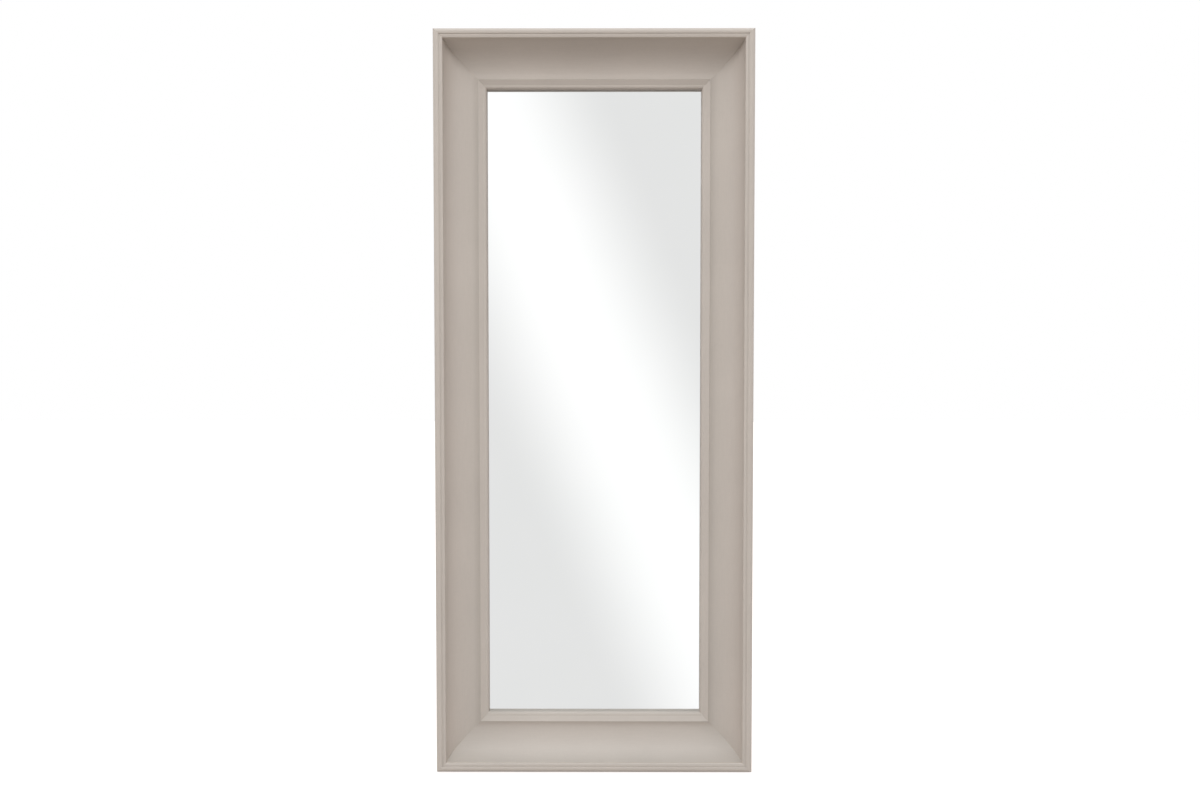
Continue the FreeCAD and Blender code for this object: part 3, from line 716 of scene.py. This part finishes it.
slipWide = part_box("slip_left")[1].x - frameLow.x
for side, half in (("left", halfHigh), ("right", halfHigh), ("top", halfWide), ("bottom", halfWide)):
    bm = slipSection(slipWide)
    runMember(bm, 2 * half, moulding["mitreGap"])
    placeMember(bm, side)
    finishPiece("slip_" + side, bm, [paint])
print("slips made")


# Glass, board and the rubber round the glass keep their solids

for node, material in (
    ("mirror_glass", silvered), ("backing_board", hardboard),
    ("setting_blocks", rubber), ("edge_spacers", rubber),
):
    frame["nodes"][node].data.materials[0] = material


# Screws: rings drawn up from the shank, with a cross pressed into the head

screws = {
    "sides": 24,
    "crossReach": 0.56,  # of the head's radius
    "crossDepth": 1.15 * mm,
    "crossSteps": ((0, 1), (0.55, 0.86), (1, 0.42)),  # shares of the cross's depth and reach
    "armWidth": 1.1,  # in steps of the circle, from the arm's middle
    "plain": 2 * mm,
    "threadPitch": 1.4 * mm,
    "threadDepth": 0.3 * mm,
    "point": 0.12,  # of the shank's radius
    "neck": 0.05 * mm,
    "rim": 0.12 * mm,
    "coneDrop": 0.25 * mm,
    "coneIn": 0.1 * mm,
    "dome": ((0.42, 1), (0.66, 0.955), (0.85, 0.85), (1, 0.66)),  # shares of the head's height and radius
    "sharpDeg": 28,
}


def nextRing(bm, ring, height, radiusAt):
    made = bmesh.ops.extrude_edge_only(bm, edges=ring)["geom"]
    tips = set(vertsOf(made))
    for v in tips:
        angle = math.atan2(v.co.y, v.co.x)
        radius = radiusAt(angle) if callable(radiusAt) else radiusAt
        v.co = (math.cos(angle) * radius, math.sin(angle) * radius, height)
    return [edge for edge in edgesOf(made) if set(edge.verts) <= tips]


def crossAt(reach):
    # the arms are as wide as the circle's own steps
    step = 2 * math.pi / screws["sides"]

    def radiusAt(angle):
        away = abs((angle + math.pi / 4) % (math.pi / 2) - math.pi / 4)
        if away < step * screws["armWidth"]:
            return reach / math.cos(away)
        return reach * math.tan(step) / math.sin(away)

    return radiusAt


def screw(length, shank, rings):
    # rings are (height, radius) from the shank's top to the edge of the cross
    bm = bmesh.new()
    bmesh.ops.create_circle(bm, cap_ends=False, segments=screws["sides"], radius=shank)
    start = bm.edges[:]
    ring = start
    for height, radius in rings:
        ring = nextRing(bm, ring, height, radius)
    top = rings[-1][0]
    reach = max(radius for height, radius in rings) * screws["crossReach"]
    for sunk, share in screws["crossSteps"]:
        ring = nextRing(bm, ring, top - screws["crossDepth"] * sunk, crossAt(reach * share))
    bmesh.ops.contextual_create(bm, geom=ring)
    ring = start
    low = rings[0][0]
    level = low - screws["plain"]
    while level > low + screws["plain"] - length:
        # each turn of the thread is a crest between two roots
        ring = nextRing(bm, ring, level, shank - screws["threadDepth"])
        ring = nextRing(bm, ring, level - screws["threadPitch"] / 2, shank)
        level -= screws["threadPitch"]
    ring = nextRing(bm, ring, level, shank - screws["threadDepth"])
    ring = nextRing(bm, ring, low - length, shank * screws["point"])
    bmesh.ops.contextual_create(bm, geom=ring)
    bmesh.ops.recalc_face_normals(bm, faces=bm.faces[:])
    return bm


def panHead(size):
    # a domed head whose underside is at z = 0
    shank, head, height = size["screwRadius"], size["headRadius"], size["headHeight"]
    domed = [(height * up, head * out) for up, out in screws["dome"]]
    return screw(size["screwLength"], shank, [
        (0, shank + screws["neck"]), (0, head - screws["rim"]), (screws["rim"], head), *domed])


def flatHead(size):
    # a countersunk head whose flat top is at z = 0
    shank, head = size["screwRadius"], size["headRadius"]
    return screw(size["screwLength"], shank, [
        (shank - head, shank), (-screws["coneDrop"], head - screws["coneIn"]), (-screws["rim"], head),
        (0, head - screws["rim"])])


def awayFromBack(x, y, z, turnDeg):
    # a placement at the frame's back, its own Z pointing at the wall
    place = axes((-1, 0, 0), (0, 0, 1), (0, 1, 0), Vector((x, y, z)))
    return place @ Matrix.Rotation(math.radians(turnDeg), 4, "Z")


# Corner plates and their screws

plate = {
    "arm": 48 * mm,
    "width": 15 * mm,
    "thick": 2 * mm,
    "endRadius": 5 * mm,
    "endSteps": 8,
    "hole": 40 * mm,
    "holeRadius": 1.9 * mm,
    "holeSides": 32,
    "countersink": 1.6 * mm,
    "edge": 0.3 * mm,
    "edgeSteps": 3,
    "outerCorner": 1.2 * mm,
    "innerCorner": 1.6 * mm,
    "cornerSteps": 5,
    "screwLength": 16 * mm,
    "screwRadius": 1.6 * mm,
    "headRadius": 3.2 * mm,
    "screwTurns": (12, 57, 31, 78, 5, 44, 66, 23),
}
legMiddle = moulding["outerLeg"] / 2
plateHoles = (Vector((plate["hole"], legMiddle)), Vector((legMiddle, plate["hole"])))


def plateShape():
    p = plate
    low, high = legMiddle - p["width"] / 2, legMiddle + p["width"] / 2
    end, bend, quarter, steps = low + p["arm"], p["endRadius"], math.pi / 2, p["endSteps"]
    bm = bmesh.new()
    first = bm.verts.new((low, low, 0))
    tip = lineTo(bm, first, end - bend, low)
    tip = arcTo(bm, tip, end - bend, low + bend, quarter, steps)
    tip = lineTo(bm, tip, end, high - bend)
    tip = arcTo(bm, tip, end - bend, high - bend, quarter, steps)
    inner = lineTo(bm, tip, high, high)
    tip = lineTo(bm, inner, high, end - bend)
    tip = arcTo(bm, tip, high - bend, end - bend, quarter, steps)
    tip = lineTo(bm, tip, low + bend, end)
    tip = arcTo(bm, tip, low + bend, end - bend, quarter, steps)
    closeOutline(bm)
    for corner, size in ((first, p["outerCorner"]), (inner, p["innerCorner"])):
        bmesh.ops.bevel(
            bm, geom=[corner], offset=size, affect="VERTICES", segments=p["cornerSteps"], profile=0.5,
            material=-1)
    for spot in plateHoles:
        bmesh.ops.create_circle(
            bm, cap_ends=False, segments=p["holeSides"], radius=p["holeRadius"],
            matrix=Matrix.Translation(spot.to_3d()))

    def nearHole(edge):
        middle = (edge.verts[0].co + edge.verts[1].co) / 2
        return any((middle.xy - spot).length < p["holeRadius"] + 0.1 * mm for spot in plateHoles)

    raiseOutline(bm, p["thick"], p["edge"], p["edgeSteps"], lambda edge: not nearHole(edge))
    mouths = [
        edge for edge in bm.edges
        if nearHole(edge) and all(abs(v.co.z - p["thick"]) < hair for v in edge.verts)
    ]
    bmesh.ops.bevel(
        bm, geom=mouths, offset=p["countersink"], affect="EDGES", segments=1, profile=0.5, material=-1)
    return bm


plateCorners = (
    ("bottom_right", 1, -1), ("bottom_left", -1, -1), ("top_left", -1, 1), ("top_right", 1, 1),
)
places = []
for corner, sideX, sideZ in plateCorners:
    bm = plateShape()
    origin = Vector((frameMiddle.x + sideX * halfWide, legBack, frameMiddle.z + sideZ * halfHigh))
    placeAt(bm, axes((-sideX, 0, 0), (0, 0, -sideZ), (0, 1, 0), origin))
    finishPiece("corner_plate_" + corner, bm, [zincPlate])
    for spot in plateHoles:
        x = frameMiddle.x + sideX * (halfWide - spot.x)
        z = frameMiddle.z + sideZ * (halfHigh - spot.y)
        places.append(awayFromBack(x, legBack + plate["thick"], z, plate["screwTurns"][len(places)]))
plateScrews = repeatAt(flatHead(plate), places)
finishPiece("corner_plate_screws", plateScrews, [screwZinc], sharpDeg=screws["sharpDeg"])
print("corner plates made")


# Turn buttons, each on its own screw

button = {
    "reach": 20 * mm,
    "hub": 6 * mm,
    "hubSteps": 28,
    "tip": 4 * mm,
    "tipSteps": 18,
    "thick": 1.2 * mm,
    "hole": 1.78 * mm,
    "holeSides": 28,
    "play": 0.3 * mm,
    "edge": 0.25 * mm,
    "edgeSteps": 2,
    "screwLength": 14 * mm,
    "screwRadius": 1.7 * mm,
    "headRadius": 3.6 * mm,
    "headHeight": 1.9 * mm,
    "screwTurns": (20, 71, 38, 9, 54, 83, 29, 62),
}


def buttonShape():
    b = button
    tipCentre = b["reach"] - b["tip"]
    lean = (b["hub"] - b["tip"]) / tipCentre
    tangent = math.acos(lean)
    bm = bmesh.new()
    first = bm.verts.new((b["hub"] * lean, b["hub"] * math.sin(tangent), 0))
    tip = arcTo(bm, first, 0, 0, 2 * math.pi - 2 * tangent, b["hubSteps"])
    tip = lineTo(bm, tip, tipCentre + b["tip"] * lean, -b["tip"] * math.sin(tangent))
    arcTo(bm, tip, tipCentre, 0, 2 * tangent, b["tipSteps"])
    closeOutline(bm)
    bmesh.ops.create_circle(bm, cap_ends=False, segments=b["holeSides"], radius=b["hole"])
    raiseOutline(bm, b["thick"], b["edge"], b["edgeSteps"])
    return bm


places = []
for node in sorted(child for child in pivots if child.startswith("turn_button_")):
    pivot = pivots[node]
    if abs(pivot.x - frameMiddle.x) < 1 * mm:
        towards = Vector((0, 0, -1 if pivot.z > frameMiddle.z else 1))
    else:
        towards = Vector((-1 if pivot.x > frameMiddle.x else 1, 0, 0))
    outwards = Vector((0, 1, 0))
    bm = buttonShape()
    foot = pivot - outwards * button["thick"] / 2
    placeAt(bm, axes(towards, outwards.cross(towards), outwards, foot))
    finishPiece(node, bm, [zincTab], node)
    headFoot = pivot.y + button["thick"] / 2 + button["play"]
    places.append(awayFromBack(pivot.x, headFoot, pivot.z, button["screwTurns"][len(places)]))
buttonScrews = repeatAt(panHead(button), places)
finishPiece("turn_button_screws", buttonScrews, [screwZinc], sharpDeg=screws["sharpDeg"])
print("turn buttons made")


# Hangers: a folded strap, a D-shaped ring in its eye and two screws

hanger = {
    "strapWidth": 13 * mm,
    "strapLength": 50 * mm,
    "strapThick": 1 * mm,
    "slit": 0.1 * mm,
    "foldDeg": 225,
    "foldOuterSteps": 20,
    "foldInnerSteps": 16,
    "endRadius": 5 * mm,
    "endSteps": 8,
    "edge": 0.16 * mm,
    "edgeSteps": 2,
    "eyeClearance": 0.1 * mm,
    "screwNear": 25 * mm,
    "screwFar": 41 * mm,
    "wire": 2.6 * mm,
    "wireSides": 20,
    "ringPlay": 0.5 * mm,
    "ringCorner": 3.2 * mm,
    "ringCornerSteps": 10,
    "ringShoulder": 3.8 * mm,
    "ringBowSteps": 36,
    "screwLength": 18 * mm,
    "screwRadius": 1.9 * mm,
    "headRadius": 3.8 * mm,
    "headHeight": 2.1 * mm,
    "screwTurns": (15, 66, 42, 87),
}
eyeInner = hanger["wire"] / 2 + hanger["eyeClearance"]
eyeOuter = eyeInner + hanger["strapThick"]
strapStack = 2 * hanger["strapThick"] + hanger["slit"]


def strapShape():
    # x runs up the strap and y away from the frame, with the ring's bar at the origin
    h = hanger
    long, upper = h["strapLength"], strapStack - eyeOuter
    lower = upper - h["strapThick"]
    fold = math.radians(h["foldDeg"])
    # the fold leaves the eye's two circles at 45 degrees
    outerLeave, innerLeave = eyeOuter * math.sqrt(0.5), eyeInner * math.sqrt(0.5)
    bm = bmesh.new()
    first = bm.verts.new((-long, -eyeOuter, 0))
    tip = lineTo(bm, first, 0, -eyeOuter)
    tip = arcTo(bm, tip, 0, 0, fold, h["foldOuterSteps"])
    tip = lineTo(bm, tip, upper - 2 * outerLeave, upper)
    tip = lineTo(bm, tip, -long, upper)
    tip = lineTo(bm, tip, -long, lower)
    tip = lineTo(bm, tip, lower - 2 * innerLeave, lower)
    tip = lineTo(bm, tip, -innerLeave, innerLeave)
    tip = arcTo(bm, tip, 0, 0, -fold, h["foldInnerSteps"])
    lineTo(bm, tip, -long, -eyeInner)
    closeOutline(bm)
    bmesh.ops.contextual_create(bm, geom=bm.edges[:])
    bmesh.ops.translate(bm, verts=bm.verts[:], vec=(0, 0, -h["strapWidth"] / 2))
    thicken(bm, h["strapWidth"])
    bmesh.ops.recalc_face_normals(bm, faces=bm.faces[:])
    ends = []
    for edge in bm.edges:
        a, b = edge.verts[0].co, edge.verts[1].co
        upright = abs(abs(a.y - b.y) - h["strapThick"]) < hair
        if upright and abs(a.x + long) < hair and abs(b.x + long) < hair:
            ends.append(edge)
    bmesh.ops.bevel(
        bm, geom=ends, offset=h["endRadius"], affect="EDGES", segments=h["endSteps"], profile=0.5,
        material=-1)
    softenEdges(bm, h["edge"], h["edgeSteps"])
    return bm


def ringShape():
    # the bar lies along X at the origin and the ring stands up along Z
    h = hanger
    corner = h["ringCorner"]
    bar = h["strapWidth"] / 2 + h["ringPlay"]
    shoulder = corner + h["ringShoulder"]
    bm = bmesh.new()
    bmesh.ops.create_circle(
        bm, cap_ends=False, segments=h["wireSides"], radius=h["wire"] / 2,
        matrix=Matrix.Rotation(math.pi / 2, 4, "Y"))
    rim = bm.edges[:]

    def runOn(rim, vec):
        made = bmesh.ops.extrude_edge_only(bm, edges=rim)["geom"]
        tips = vertsOf(made)
        bmesh.ops.translate(bm, verts=tips, vec=vec)
        return [edge for edge in edgesOf(made) if set(edge.verts) <= set(tips)]

    def bendOn(rim, x, z, turn, steps):
        made = bmesh.ops.spin(
            bm, geom=rim, cent=(x, 0, z), axis=(0, -1, 0), angle=turn, steps=steps, use_duplicate=False)
        return edgesOf(made["geom_last"])

    rim = runOn(rim, (bar, 0, 0))
    rim = bendOn(rim, bar, corner, math.pi / 2, h["ringCornerSteps"])
    rim = runOn(rim, (0, 0, h["ringShoulder"]))
    rim = bendOn(rim, 0, shoulder, math.pi, h["ringBowSteps"])
    rim = runOn(rim, (0, 0, -h["ringShoulder"]))
    rim = bendOn(rim, -bar, corner, math.pi / 2, h["ringCornerSteps"])
    runOn(rim, (bar, 0, 0))
    weld(bm, 0.002 * mm)
    bmesh.ops.recalc_face_normals(bm, faces=bm.faces[:])
    return bm


places = []
for side in ("left", "right"):
    eye = pivots["d_ring_" + side]
    bm = strapShape()
    placeAt(bm, axes((0, 0, 1), (0, 1, 0), (-1, 0, 0), eye))
    finishPiece("hanger_strap_" + side, bm, [zincTab], sharpDeg=40)
    bm = ringShape()
    placeAt(bm, Matrix.Translation(eye))
    finishPiece("d_ring_" + side, bm, [nickelWire], "d_ring_" + side, sharpDeg=60)
    for down in (hanger["screwNear"], hanger["screwFar"]):
        turn = hanger["screwTurns"][len(places)]
        places.append(awayFromBack(eye.x, legBack + strapStack, eye.z - down, turn))
hangerScrews = repeatAt(panHead(hanger), places)
finishPiece("hanger_screws", hangerScrews, [screwZinc], sharpDeg=screws["sharpDeg"])
print("hangers made")


# Bent wedges across the mitres

nail = {
    "leg": 8 * mm,
    "thick": 0.7 * mm,
    "height": 10 * mm,
    "proud": 0.1 * mm,
    "edge": 0.1 * mm,
}


def nailShape():
    half, leg = nail["thick"] / 2, nail["leg"]
    bm = bmesh.new()
    tip = bm.verts.new((-half, -half, 0))
    for x, y in ((leg, -half), (leg, half), (half, half), (half, leg), (-half, leg)):
        tip = lineTo(bm, tip, x, y)
    closeOutline(bm)
    raiseOutline(bm, nail["height"], nail["edge"], 1)
    return bm


innerLegMiddle = mouldingWide - moulding["rebateWidth"] - moulding["innerLeg"] / 2
innerLegBack = legBack - moulding["legRecess"] + nail["proud"]
places = []
for corner, sideX, sideZ in plateCorners:
    for inwardBy, level in ((legMiddle, legBack), (innerLegMiddle, innerLegBack)):
        x = frameMiddle.x + sideX * (halfWide - inwardBy)
        z = frameMiddle.z + sideZ * (halfHigh - inwardBy)
        spot = Vector((x, level - nail["height"], z))
        places.append(axes((-sideX, 0, 0), (0, 0, -sideZ), (0, 1, 0), spot))
finishPiece("v_nails", repeatAt(nailShape(), places), [brightSteel], sharpDeg=30)


# Rubber bumpers

bumper = {
    "radius": 9 * mm,
    "foot": 0.3 * mm,
    "face": 8.35 * mm,
    "height": 6 * mm,
    "round": 1.1 * mm,
    "roundSteps": 6,
    "dish": 0.45 * mm,
    "dishRadius": 5.5 * mm,
    "dishStep": 0.8,  # of the dish's radius and depth
    "sides": 44,
}


def bumperShape():
    b = bumper
    shoulder = b["height"] - b["round"]
    bm = bmesh.new()
    tip = bm.verts.new((0, 0, 0))
    tip = lineTo(bm, tip, b["radius"] - b["foot"], 0)
    tip = lineTo(bm, tip, b["radius"], b["foot"])
    tip = lineTo(bm, tip, b["face"], shoulder)
    tip = arcTo(bm, tip, b["face"] - b["round"], shoulder, math.pi / 2, b["roundSteps"])
    tip = lineTo(bm, tip, b["dishRadius"], b["height"])
    tip = lineTo(bm, tip, b["dishRadius"] * b["dishStep"], b["height"] - b["dish"] * b["dishStep"])
    lineTo(bm, tip, 0, b["height"] - b["dish"])
    bmesh.ops.spin(
        bm, geom=bm.verts[:] + bm.edges[:], cent=(0, 0, 0), axis=(0, 1, 0), angle=2 * math.pi,
        steps=b["sides"], use_merge=True, use_duplicate=False)
    weld(bm, 0.005 * mm)
    bmesh.ops.recalc_face_normals(bm, faces=bm.faces[:])
    return bm


for corner, sideX, sideZ in plateCorners:
    node = "wall_bumper_" + corner
    low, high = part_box(node)
    bm = bumperShape()
    placeAt(bm, Matrix.Translation(((low.x + high.x) / 2, low.y, (low.z + high.z) / 2)))
    finishPiece(node, bm, [rubber])
print("nails and bumpers made")


# Camera, floor and light

view = {
    "lens": 22.338,
    "sensor": 36,
    "rightOfMiddle": 14.4 * mm,
    "aboveMiddle": 45.3 * mm,
    "beforeLip": 1394.5 * mm,
    "tiltDownDeg": 1.49,
    "turnLeftDeg": 0.13,
}
cameraData = bpy.data.cameras.new("camera")
cameraData.lens = view["lens"]
cameraData.sensor_width = view["sensor"]
camera = bpy.data.objects.new("camera", cameraData)
bpy.context.scene.collection.objects.link(camera)
camera.location = (
    frameMiddle.x + view["rightOfMiddle"], frameLow.y - view["beforeLip"],
    frameMiddle.z + view["aboveMiddle"])
camera.rotation_euler = (math.radians(90 - view["tiltDownDeg"]), 0, math.radians(view["turnLeftDeg"]))
bpy.context.scene.camera = camera

# spans, feet and tops are the pairs of ray slopes between which a field of light comes in or fades
studio = {
    "floorSize": 12,
    "floorColor": (0.60, 0.54, 0.50, 1),
    "floorLift": 0.62,
    "skyLevel": 1.1,
    "skySpan": (0.15, 0.8),
    "skyTint": (0.94, 1.0, 1.05),
    "boxLevel": 2.35,
    "boxLevelBehind": 1.8,
    "boxSpan": (0.55, 0.85),
    "boxSpanBefore": (0.05, -0.35),
    "boxSpanBehind": (-0.05, 0.35),
    "boxFoot": (-0.05, 0.1),
    "boxTop": (0.3, 0.65),
    "boxTint": (1.12, 1.0, 0.99),
    "bandWhite": 1.06,
    "bandGrey": 0.80,
    "bandSpan": (0.015, 0.165),
    "bandAcross": 0.918,
    "bandUp": 0.395,
    "glossAbove": 1.6,
    "glossSpan": (0.7, 0.96),
    "backDark": 0.26,
    "backBright": 0.95,
    "backSpan": (-0.15, 0.75),
    "keyPower": 86,
    "keySize": 2.2,
    "keyPlace": (-0.34, -3.6, 2.45),
    "keyTint": (0.965, 1.0, 1.03),
}

floorMesh = bpy.data.meshes.new("floor")
bm = bmesh.new()
bmesh.ops.create_grid(bm, x_segments=1, y_segments=1, size=studio["floorSize"])
bmesh.ops.translate(bm, verts=bm.verts[:], vec=(0, 0, frameLow.z))
bm.to_mesh(floorMesh)
bm.free()
floor = bpy.data.objects.new("floor", floorMesh)
bpy.context.scene.collection.objects.link(floor)
floorPaint, tree, shader = newMaterial("floorPaint")[:3]
shader["Base Color"].default_value = studio["floorColor"]
shader["Roughness"].default_value = 0.9
shader["Emission Color"].default_value = (1, 1, 1, 1)
seen = putNode(tree, "LightPath").outputs["Is Camera Ray"]
feed(tree, shader["Emission Strength"], times(tree, seen, studio["floorLift"]))
floorMesh.materials.append(floorPaint)
floor.visible_glossy = False

world = bpy.data.worlds.new("studio")
bpy.context.scene.world = world
world.use_nodes = True
sky = world.node_tree
background = sky.nodes["Background"]
aim = coordinates(sky, putNode(sky, "TexCoord").outputs["Generated"])

# light for the surfaces: a cool sky overhead and a warmer soft box low at each side, before and behind
overhead = times(sky, spread(sky, aim[2], *studio["skySpan"]), studio["skyLevel"])
low = times(
    sky, spread(sky, aim[2], *studio["boxFoot"]), spread(sky, aim[2], *studio["boxTop"], 1.0, 0.0))
sides = spread(sky, maths(sky, "ABSOLUTE", aim[0]), *studio["boxSpan"])
before = spread(sky, aim[1], *studio["boxSpanBefore"], 0.0, studio["boxLevel"])
behind = spread(sky, aim[1], *studio["boxSpanBehind"], 0.0, studio["boxLevelBehind"])
boxes = times(sky, low, sides, maths(sky, "ADD", before, behind))
tinted = [
    putNode(sky, "VectorMath", {0: tint, "Scale": level}, operation="SCALE").outputs[0]
    for tint, level in ((studio["skyTint"], overhead), (studio["boxTint"], boxes))
]
light = putNode(sky, "VectorMath", {0: tinted[0], 1: tinted[1]}, operation="ADD").outputs[0]

# what mirrors see: before the frame a soft white band that leans across pale grey under a bright
# top, and behind it a field that brightens upwards
depth = maths(sky, "MAXIMUM", maths(sky, "ABSOLUTE", aim[1]), 0.02)
across = times(sky, maths(sky, "DIVIDE", aim[0], depth), studio["bandAcross"])
upwards = times(sky, maths(sky, "DIVIDE", aim[2], depth), studio["bandUp"])
lean = maths(sky, "ABSOLUTE", maths(sky, "ADD", across, upwards))
band = spread(sky, lean, *studio["bandSpan"], studio["bandWhite"], studio["bandGrey"])
band = maths(sky, "ADD", band, spread(sky, aim[2], *studio["glossSpan"], 0.0, studio["glossAbove"]))
shine = spread(sky, aim[2], *studio["backSpan"], studio["backDark"], studio["backBright"])
atBack = spread(sky, aim[1], -0.02, 0.1)
band = between(sky, atBack, band, shine)
path = putNode(sky, "LightPath").outputs
straight = maths(sky, "LESS_THAN", path["Diffuse Depth"], 0.5)
glossySeen = times(sky, path["Is Glossy Ray"], straight)
mirrored = putNode(sky, "CombineColor", {0: band, 1: band, 2: band}).outputs[0]
seen = blend(sky, glossySeen, light, mirrored)
feed(sky, background.inputs["Color"], blend(sky, path["Is Camera Ray"], seen, (1, 1, 1, 1)))
background.inputs["Strength"].default_value = 1.0

key = bpy.data.lights.new("key", "AREA")
key.shape = "SQUARE"
key.size = studio["keySize"]
key.energy = studio["keyPower"]
key.color = studio["keyTint"]
keyLamp = bpy.data.objects.new("key", key)
bpy.context.scene.collection.objects.link(keyLamp)
keyLamp.location = studio["keyPlace"]
keyLamp.rotation_euler = (frameMiddle - keyLamp.location).to_track_quat("-Z", "Y").to_euler()
keyLamp.visible_camera = False
keyLamp.visible_glossy = False

bpy.context.scene.view_settings.view_transform = "Standard"
